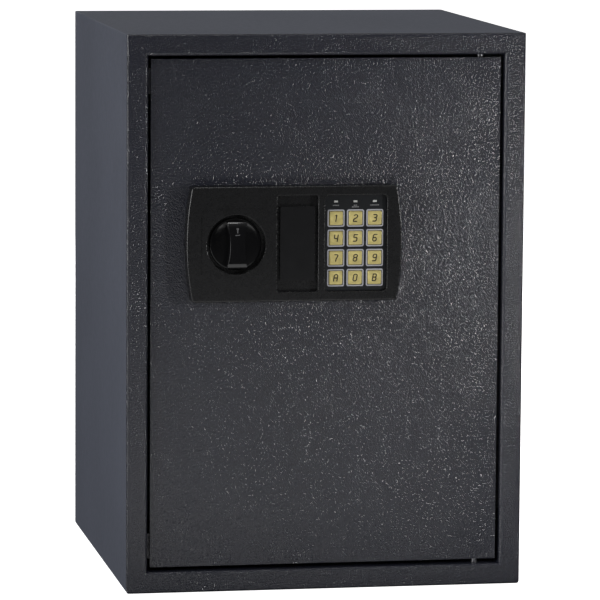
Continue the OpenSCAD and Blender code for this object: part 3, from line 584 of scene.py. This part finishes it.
def panel_piece():
    """The lock panel's own faces, with its outer rim rounded over and each recess edge eased."""
    low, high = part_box("lock_panel")
    cx, cz = middle("lock_panel")
    half_w, half_h = (high.x - low.x) / 2, (high.z - low.z) / 2
    knob_x, knob_z = middle("knob")
    knob_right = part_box("knob")[1].x

    def at_front(edge):
        return all(abs(v.co.y - low.y) < FRONT_TOLERANCE for v in edge.verts)

    def outer(edge):
        if not at_front(edge):
            return False
        mid = (edge.verts[0].co + edge.verts[1].co) / 2
        bulge = PANEL_BULGE * (1 - ((mid.z - cz) / half_h) ** 2)
        if abs(mid.z - cz) > half_h - RIM_TOP:
            return True
        return abs(mid.x - cx) > half_w - PANEL_BULGE + bulge - RIM_END

    def recess(edge):
        if not at_front(edge) or outer(edge):
            return False
        mid = (edge.verts[0].co + edge.verts[1].co) / 2
        from_knob = Vector((mid.x - knob_x, mid.z - knob_z))
        return from_knob.length < KNOB_RECESS_REACH or mid.x > knob_right + KNOB_CLEAR

    shape = bmesh.new()
    shape.from_mesh(frame["nodes"]["lock_panel"].data)
    bmesh.ops.remove_doubles(shape, verts=shape.verts, dist=1e-6)
    bmesh.ops.dissolve_limit(
        shape, angle_limit=math.radians(0.3), verts=shape.verts, edges=shape.edges,
        use_dissolve_boundaries=False,
    )
    for width, segments, wanted in ((1.3 * MM, 4, outer), (0.55 * MM, 3, recess)):
        edges = [e for e in shape.edges if sharper(e, 25) and wanted(e)]
        bevel_edges(shape, edges, width, segments, clamp=False)
    piece = mesh_object("panel_softened", shape, materials["panel_plastic"])
    normals = piece.modifiers.new("normals", "WEIGHTED_NORMAL")
    normals.keep_sharp = True
    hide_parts("lock_panel")
    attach(piece, "door")


# The sphere that sinks a key cap's dish and how deep it goes, the cap's half width, corner and eased
# rim, the thickness of its flange, and the length and radius of the stem behind
DISH_RADIUS, DISH_SINK = 24 * MM, 0.5 * MM
CAP_HALF, CAP_CORNER, CAP_EASE = 6 * MM, 1 * MM, 0.55 * MM
FLANGE_THICK, STEM_LENGTH, STEM_RADIUS = 1.0 * MM, 1.4 * MM, 2.5 * MM
CAP_STEPS = 64


def dish_depth(r):
    """How far a point at distance r from a cap's middle lies behind the flat of its face."""
    return DISH_SINK - (DISH_RADIUS - math.sqrt(DISH_RADIUS ** 2 - r * r))


def square_reach(angle, half, corner, inset=0.0):
    """Distance from the centre to a rounded square's outline, shrunk by inset, in one direction."""
    c, s = abs(math.cos(angle)), abs(math.sin(angle))
    near, far = 0.0, half * 2
    for _ in range(30):
        r = (near + far) / 2
        dx, dz = c * r - (half - corner), s * r - (half - corner)
        outside = math.hypot(max(dx, 0), max(dz, 0)) + min(max(dx, dz), 0) - corner
        near, far = (r, far) if outside < -inset else (near, r)
    return near


def cap_piece(body):
    """A key cap: round dish in a square face, eased rim, flange and stem."""
    low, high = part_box(body)
    cx, cz = middle(body)
    flange_back = high.y - STEM_LENGTH
    flange_front = flange_back - FLANGE_THICK
    flange_half = (high.x - low.x) / 2
    dish_edge = math.sqrt(DISH_RADIUS ** 2 - (DISH_RADIUS - DISH_SINK) ** 2)
    angles = [2 * math.pi * i / CAP_STEPS for i in range(CAP_STEPS)]

    def circle(radius):
        return [radius] * CAP_STEPS

    def square(half, inset=0.0):
        return [square_reach(a, half, CAP_CORNER, inset) for a in angles]

    rings = []
    for k in range(1, 9):
        r = dish_edge * k / 8
        rings.append((circle(r), low.y + dish_depth(r)))
    rings.append((circle(dish_edge + 0.12 * MM), low.y))
    for k in range(6):
        turn = math.radians(18 * k)
        back = low.y + CAP_EASE * (1 - math.cos(turn))
        rings.append((square(CAP_HALF, CAP_EASE * (1 - math.sin(turn))), back))
    rings.append((square(CAP_HALF), flange_front))
    rings += [(square(flange_half), y) for y in (flange_front, flange_back)]
    rings += [(circle(STEM_RADIUS), y) for y in (flange_back, high.y)]
    shape = bmesh.new()
    made = []
    for reach, y in rings:
        ring = []
        for r, a in zip(reach, angles):
            ring.append(shape.verts.new((cx + r * math.cos(a), y, cz + r * math.sin(a))))
        made.append(ring)
    tip = shape.verts.new((cx, low.y + DISH_SINK, cz))
    end = shape.verts.new((cx, high.y, cz))
    for i in range(CAP_STEPS):
        j = (i + 1) % CAP_STEPS
        shape.faces.new((tip, made[0][i], made[0][j]))
        shape.faces.new((end, made[-1][j], made[-1][i]))
        for a, b in zip(made, made[1:]):
            shape.faces.new((a[i], b[i], b[j], a[j]))
    piece = mesh_object("cap_" + body[4:], shape, materials["key_gold"], 30)
    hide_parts(body)
    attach(piece, body)


# The grip bar's half length, its half width at the ends and at the waist, and how far it rolls over
GRIP_HALF = 22 * MM
GRIP_END, GRIP_WAIST, GRIP_ROLL = 10 * MM, 6.5 * MM, 5.2 * MM
DISC_BACK, DISC_EDGE, SPINDLE_HOLE = 3.5 * MM, 1.3 * MM, 5 * MM

# The grip's printed mark, in millimetres from the middle of the grip's upper end: a stem and a dash
KNOB_MARK = [
    [
        (-1.1, -6.6), (1.1, -6.6), (0.9, -8.2), (0.5, -8.6),
        (0.45, -11.2), (-0.45, -11.2), (-0.5, -8.6), (-0.9, -8.2),
    ],
    [(-2.1, -12.6), (2.1, -12.3), (2.1, -13.1), (-2.1, -13.4)],
]


def disc_profile(high, radius, front):
    """The knob's disc from the bottom of its spindle hole round to the middle of its face."""
    hole, chamfer = SPINDLE_HOLE, 0.5 * MM
    bottom = front - 4 * MM
    profile = [(0, bottom), (hole, bottom), (hole, high.y)]
    profile += [(radius - chamfer, high.y), (radius, high.y - chamfer)]
    for i in range(7):
        turn = math.radians(15 * i)
        across, along = DISC_EDGE * (1 - math.cos(turn)), DISC_EDGE * (1 - math.sin(turn))
        profile.append((radius - across, front + along))
    profile += [(radius - 2.4 * MM, front + 0.1 * MM), (radius - 4 * MM, front + 0.5 * MM)]
    profile += [(9 * MM, front + 0.3 * MM), (0, front + 0.3 * MM)]
    return profile


def grip_bar(x, z, front, disc_front):
    """The waisted bar across the knob: three prisms' common solid with its edges rounded."""
    waist = []
    for sign in (1, -1):
        for i in range(-14, 15):
            t = sign * i / 14
            half = GRIP_WAIST + (GRIP_END - GRIP_WAIST) * abs(t) ** 2.2
            waist.append((x + sign * half, z + t * (GRIP_HALF + MM)))
    long = GRIP_HALF + 0.2 * MM
    side = []
    for i in range(29):
        t = -1 + 2 * i / 28
        roll = max(0.0, (abs(t) - 0.74) / 0.26)
        drop = 0.5 * MM * t * t + GRIP_ROLL * (1 - math.sqrt(max(0.0, 1 - roll * roll)))
        side.append((front + drop, z + t * long))
    side += [(disc_front + 1.2 * MM, z + long), (disc_front + 1.2 * MM, z - long)]
    ends = []
    for sign in (1, -1):
        for i in range(13):
            t = sign * (-1 + 2 * i / 12)
            arc = math.sqrt(GRIP_HALF ** 2 - (t * GRIP_END) ** 2)
            ends.append((x + t * GRIP_END * 1.02, z + sign * arc))
    waisted = prism(waist, front - MM, disc_front + 0.8 * MM, "Y")
    rounded = prism(ends, front - 2 * MM, disc_front + 2 * MM, "Y")
    ended = combined(waisted, rounded, "INTERSECT")
    bar = combined(ended, prism(side, x - 0.02, x + 0.02, "X"), "INTERSECT")
    level = [
        e for e in bar.edges
        if len(e.link_faces) == 2 and e.calc_face_angle(0) < math.radians(0.3)
    ]
    bmesh.ops.dissolve_edges(bar, edges=level, use_verts=True)
    bevel_edges(bar, [e for e in bar.edges if sharper(e, 25)], 0.9 * MM, 4, clamp=True)
    return bar


def knob_piece():
    """The finger knob: a shallow disc with a waisted bar across it, its ends rolled over."""
    low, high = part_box("knob")
    x, z = middle("knob")
    front = low.y
    disc_front = high.y - DISC_BACK
    bar = grip_bar(x, z, front, disc_front)
    disc = lathe(disc_profile(high, (high.x - low.x) / 2, disc_front), (x, z))
    whole = combined(disc, bar, "UNION")
    piece = mesh_object("knob_turned", whole, materials["knob_plastic"], 40)
    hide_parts("knob")
    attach(piece, "knob")
    mark = bmesh.new()
    top = z + GRIP_HALF
    for points in KNOB_MARK:
        outline = [(x + a * MM, top + b * MM) for a, b in points]
        absorb(mark, prism(outline, front - 0.05 * MM, front + 0.5 * MM, "Y"))
    marker = mesh_object("knob_marker", mark, materials["mark_dim"])
    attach(marker, "knob")


# Strokes of each key's figure, on a grid 2 wide and 4 high, as a rounded segment display draws them
FIGURES = {
    "1": [[(0.55, 3.6), (1.1, 4), (1.1, 0)]],
    "2": [
        [
            (0, 3.5), (0.5, 4), (1.5, 4), (2, 3.4), (2, 2.7),
            (1.5, 2.1), (0.5, 1.6), (0, 0.9), (0, 0), (2, 0),
        ],
    ],
    "3": [
        [(0, 4), (1.5, 4), (2, 3.5), (2, 2.6), (1.4, 2.1), (0.7, 2.1)],
        [(1.4, 2.1), (2, 1.6), (2, 0.5), (1.5, 0), (0, 0)],
    ],
    "4": [[(0, 4), (0, 2.2), (0.4, 1.8), (2, 1.8)], [(2, 4), (2, 0)]],
    "5": [[(2, 4), (0, 4), (0, 2.3), (1.5, 2.3), (2, 1.8), (2, 0.5), (1.5, 0), (0, 0)]],
    "6": [
        [
            (2, 4), (0.5, 4), (0, 3.4), (0, 0.5), (0.5, 0),
            (1.5, 0), (2, 0.5), (2, 1.6), (1.5, 2.1), (0, 2.1),
        ],
    ],
    "7": [[(0, 4), (1.5, 4), (2, 3.5), (1.7, 2.4), (1.3, 1.6), (1.2, 0)]],
    "8": [
        [
            (0.5, 4), (1.5, 4), (2, 3.5), (2, 2.6), (1.5, 2.1),
            (0.5, 2.1), (0, 2.6), (0, 3.5), (0.5, 4),
        ],
        [(0.5, 2.1), (0, 1.6), (0, 0.5), (0.5, 0), (1.5, 0), (2, 0.5), (2, 1.6), (1.5, 2.1)],
    ],
    "9": [
        [
            (2, 1.9), (0.5, 1.9), (0, 2.4), (0, 3.5), (0.5, 4),
            (1.5, 4), (2, 3.5), (2, 0.5), (1.5, 0), (0, 0),
        ],
    ],
    "a": [[(0, 0), (0, 3.4), (0.6, 4), (1.4, 4), (2, 3.4), (2, 0)], [(0, 1.9), (2, 1.9)]],
    "0": [
        [
            (0.5, 4), (1.5, 4), (2, 3.5), (2, 0.5), (1.5, 0),
            (0.5, 0), (0, 0.5), (0, 3.5), (0.5, 4),
        ],
    ],
    "b": [
        [(0, 0), (0, 4), (1.4, 4), (1.9, 3.6), (1.9, 2.6), (1.4, 2.1), (0, 2.1)],
        [(1.4, 2.1), (2, 1.6), (2, 0.5), (1.5, 0), (0, 0)],
    ],
}
FIGURE_W, FIGURE_H, FIGURE_LEAN = 3.1 * MM, 5.9 * MM, 0.17

# Half a stroke's width, how high its ridge stands, how deep its foot lies, and the faces across it
STROKE, RIDGE, RIDGE_FOOT, RIDGE_STEPS = 0.55 * MM, 0.11 * MM, 0.02 * MM, 6


def stroke_path(points):
    """Points along a polyline about half a STROKE apart, with its corners smoothed."""
    out = []
    for a, b in zip(points, points[1:]):
        steps = max(1, int((b - a).length / (STROKE * 0.5)))
        out += [a.lerp(b, i / steps) for i in range(steps)]
    out.append(points[-1])
    inner = [(p + 2 * q + r) / 4 for p, q, r in zip(out, out[1:], out[2:])]
    return [out[0], *inner, out[-1]]


def figure_piece(body, figure):
    """The figure moulded in the dish of one key cap: a low rounded ridge along each stroke."""
    low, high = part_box(body)
    cx, cz = middle(body)
    shape = bmesh.new()
    turns = [math.pi * k / RIDGE_STEPS for k in range(RIDGE_STEPS + 1)]

    def vertex(spot, rise):
        """A vertex at a place on the dish, with its ridge rising out of it."""
        dish = low.y + dish_depth(min(spot.length, DISH_RADIUS * 0.9))
        return shape.verts.new((cx + spot.x, dish + RIDGE_FOOT - rise, cz + spot.y))

    def join(a, b):
        for k in range(RIDGE_STEPS):
            shape.faces.new((a[k], a[k + 1], b[k + 1], b[k]))
        shape.faces.new((a[-1], a[0], b[0], b[-1]))

    for points in FIGURES[figure]:
        flat = []
        for a, b in points:
            v = (b / 4 - 0.5) * FIGURE_H
            flat.append(Vector(((a / 2 - 0.5) * FIGURE_W + v * FIGURE_LEAN, v)))
        path = stroke_path(flat)
        rows = []
        last = len(path) - 1
        for i, p in enumerate(path):
            along = (path[min(i + 1, last)] - path[max(i - 1, 0)]).normalized()
            across = Vector((-along.y, along.x)) * STROKE
            row = [vertex(p + across * math.cos(t), RIDGE * math.sin(t)) for t in turns]
            rows.append(row)
        for a, b in zip(rows, rows[1:]):
            join(a, b)
        for row, p, q in ((rows[0], path[0], path[1]), (rows[-1], path[-1], path[-2])):
            out = (p - q).normalized() * STROKE
            fan = []
            for turn, corner in zip(turns, row):
                reach = Vector((corner.co.x - cx - p.x, corner.co.z - cz - p.y))
                round_off = math.sqrt(max(0, 1 - (reach.length / STROKE) ** 2 * 0.7)) * 0.8
                fan.append(vertex(p + reach * 0.55 + out * round_off, 0.05 * MM * math.sin(turn)))
            join(row, fan)
            shape.faces.new(fan)
    piece = mesh_object("figure_" + figure, shape, materials["figure_brown"], 60)
    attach(piece, body)


# Rows of dashes under each lamp, left to right: how wide a row is in millimetres, and its dashes
LAMP_ROWS = [[(5.6, 4)], [(3.2, 2), (6.4, 5)], [(8.2, 6)]]
LAMP_SIZE, MARK_HALF = 3.5 * MM, 0.4 * MM
FIRST_ROW, ROW_PITCH = 2.6, 1.5


def lamp_marks():
    """Plain dashes printed under the three lamps."""
    low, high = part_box("status_lamps")
    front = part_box("keypad_overlay")[0].y
    shape = bmesh.new()
    pitch = (high.x - low.x - LAMP_SIZE) / 2
    for index, rows in enumerate(LAMP_ROWS):
        x = low.x + LAMP_SIZE / 2 + pitch * index
        for row, (width, dashes) in enumerate(rows):
            z = low.z - (FIRST_ROW + ROW_PITCH * row) * MM
            step = width * MM / dashes
            for k in range(dashes):
                a = x - width * MM / 2 + k * step
                b = a + step * 0.72
                top, bottom = z + MARK_HALF, z - MARK_HALF
                outline = [(a, bottom), (b, bottom), (b, top), (a, top)]
                absorb(shape, prism(outline, front - 0.04 * MM, front + 0.1 * MM, "Y"))
    piece = mesh_object("lamp_marks", shape, materials["mark_grey"])
    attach(piece, "door")


MAT_COLUMNS, MAT_ROWS, MAT_HOLE_MARGIN = 86, 84, 8
MAT_SLACK, MAT_WAVE, MAT_NAP = 0.35 * MM, 0.25 * MM, 0.06
RIM_DROP = {0: 0.9 * MM, 1: 0.25 * MM}


def mat_piece():
    """The felt mat: a thin laid sheet with two anchor holes, its rim and nap slightly uneven."""
    low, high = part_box("floor_mat")
    mount = next(m for m in frame["record"]["mounts"] if m["name"] == "anchor_floor")
    hole = (mount["dims"]["hole_r_mm"] + MAT_HOLE_MARGIN) * MM
    apart = mount["dims"]["spacing_x_mm"] / 2 * MM
    anchors = [Vector((sign * apart, mount["pos_m"][1])) for sign in (-1, 1)]
    width, length = high.x - low.x, high.y - low.y
    columns, rows = MAT_COLUMNS, MAT_ROWS
    shape = bmesh.new()

    def place(i, j):
        return low.x + width * i / columns, low.y + length * j / rows

    def wave(x, y):
        swell = math.sin(x * 41 + 1.3) * math.sin(y * 33 + 0.4)
        return MAT_WAVE * (swell + 0.5 * math.sin(x * 90 - y * 70))

    grid = {}
    for side in (0, 1):
        for i in range(columns + 1):
            for j in range(rows + 1):
                x, y = place(i, j)
                rim = RIM_DROP.get(min(i, columns - i, j, rows - j), 0)
                nap = rng.uniform(-MAT_NAP, MAT_NAP) * MM
                top = high.z - rim - MAT_SLACK + wave(x, y) + nap
                grid[side, i, j] = shape.verts.new((x, y, top if side else low.z))

    def open_cell(i, j):
        return any((Vector(place(i + 0.5, j + 0.5)) - a).length < hole for a in anchors)

    cells = {(i, j) for i in range(columns) for j in range(rows) if not open_cell(i, j)}
    for i, j in cells:
        corners = [(i, j), (i + 1, j), (i + 1, j + 1), (i, j + 1)]
        for side in (0, 1):
            ring = [grid[side, *corner] for corner in corners]
            shape.faces.new(ring if side else ring[::-1])
        beside = [(i, j - 1), (i + 1, j), (i, j + 1), (i - 1, j)]
        for a, b, neighbour in zip(corners, corners[1:] + corners[:1], beside):
            if neighbour not in cells:
                shape.faces.new((grid[0, *a], grid[0, *b], grid[1, *b], grid[1, *a]))
    loose = [v for v in shape.verts if not v.link_faces]
    bmesh.ops.delete(shape, geom=loose, context="VERTS")

    def at_edge(v):
        return len(v.link_faces) < 6 and any(sharper(e, 57) for e in v.link_edges)

    for v in shape.verts:
        for a in anchors:
            away = Vector((v.co.x, v.co.y)) - a
            if hole * 0.75 < away.length < hole * 1.16 and at_edge(v):
                away = away.normalized() * hole
                v.co.x, v.co.y = a.x + away.x, a.y + away.y
    piece = mesh_object("mat_felt", shape, materials["felt"], 70)
    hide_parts("floor_mat")
    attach(piece, "cabinet")


SCREW_APART, SHANK_RADIUS = 12 * MM, 2 * MM
HEAD_THICK, HEAD_ROUND = 2.4 * MM, 2.0 * MM
CROSS_REACH, CROSS_HALF, CROSS_DEPTH = 2.3 * MM, 0.42 * MM, 1.5 * MM


def screw_heads(node):
    """Each screw's middle as x and z and its head's radius, from the node's rearmost points."""
    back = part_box(node)[1].y
    groups = []
    for vertex in frame["nodes"][node].data.vertices:
        p = vertex.co
        if abs(p.y - back) >= 0.01 * MM:
            continue
        for group in groups:
            if math.hypot(group[0].x - p.x, group[0].z - p.z) < SCREW_APART:
                group.append(p)
                break
        else:
            groups.append([p])
    heads = []
    for group in groups:
        xs, zs = [p.x for p in group], [p.z for p in group]
        heads.append(((min(xs) + max(xs)) / 2, (min(zs) + max(zs)) / 2, (max(xs) - min(xs)) / 2))
    return heads


def screw_pieces(node, body, slot):
    """Pan-head screws with a cross recess in place of a node of plain ones, facing +Y."""
    low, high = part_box(node)
    seat, top = high.y - HEAD_THICK, high.y
    shape = bmesh.new()
    for x, z, head in screw_heads(node):
        profile = [(0, low.y), (SHANK_RADIUS - 0.1 * MM, low.y), (SHANK_RADIUS - 0.05 * MM, seat)]
        profile.append((head - 0.2 * MM, seat))
        for i in range(7):
            turn = math.radians(15 * i)
            rise = 0.5 * MM + 1.7 * MM * math.sin(turn)
            profile.append((head - HEAD_ROUND * (1 - math.cos(turn)), seat + rise))
        profile += [(head * 0.25, top - 0.03 * MM), (0, top)]
        screw = lathe(profile, (x, z), 48)
        turn = rng.uniform(0, math.pi)
        for k in (0, 1):
            c, s = math.cos(turn + k * math.pi / 2), math.sin(turn + k * math.pi / 2)
            a, b = CROSS_REACH, CROSS_HALF
            bar = [(-a, -b), (a, -b), (a, b), (-a, b)]
            corners = [(x + c * u - s * v, z + s * u + c * v) for u, v in bar]
            cross = prism(corners, top - CROSS_DEPTH, top + MM, "Y")
            screw = combined(screw, cross, "DIFFERENCE")
        absorb(shape, screw)
    piece = mesh_object(node + "_cross", shape, materials[slot], 30)
    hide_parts(node)
    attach(piece, body)


knob_piece()
panel_piece()
for name in KEYS:
    cap_piece(name)
    figure_piece(name, name[4:])
lamp_marks()
mat_piece()
screw_pieces("cover_screws", "door", "bright_steel")


# ---------------------------------------------------------------- stage

def add_stage():
    """A pale round floor that neither lights the object nor shows in its gloss, and the lights."""
    data = bpy.data.meshes.new("floor")
    shape = bmesh.new()
    bmesh.ops.create_circle(shape, cap_ends=True, segments=96, radius=FLOOR_RADIUS)
    shape.to_mesh(data)
    shape.free()
    floor = bpy.data.objects.new("floor", data)
    floor.location.z = -FLOOR_DROP
    floor.visible_glossy = False
    floor.visible_diffuse = False
    bpy.context.scene.collection.objects.link(floor)
    n = Nodes("floor")
    n.colour(n.ramp(n.noise(3), [(0.3, (0.86, 0.86, 0.86)), (0.7, (0.90, 0.90, 0.90))]))
    n.set(Roughness=0.85, Emission_Color=(1.0, 1.0, 1.0), Emission_Strength=1.0)
    data.materials.append(n.material)
    for light in LIGHTS:
        add_area(*light)


add_stage()
bpy.context.scene.view_settings.view_transform = "Standard"
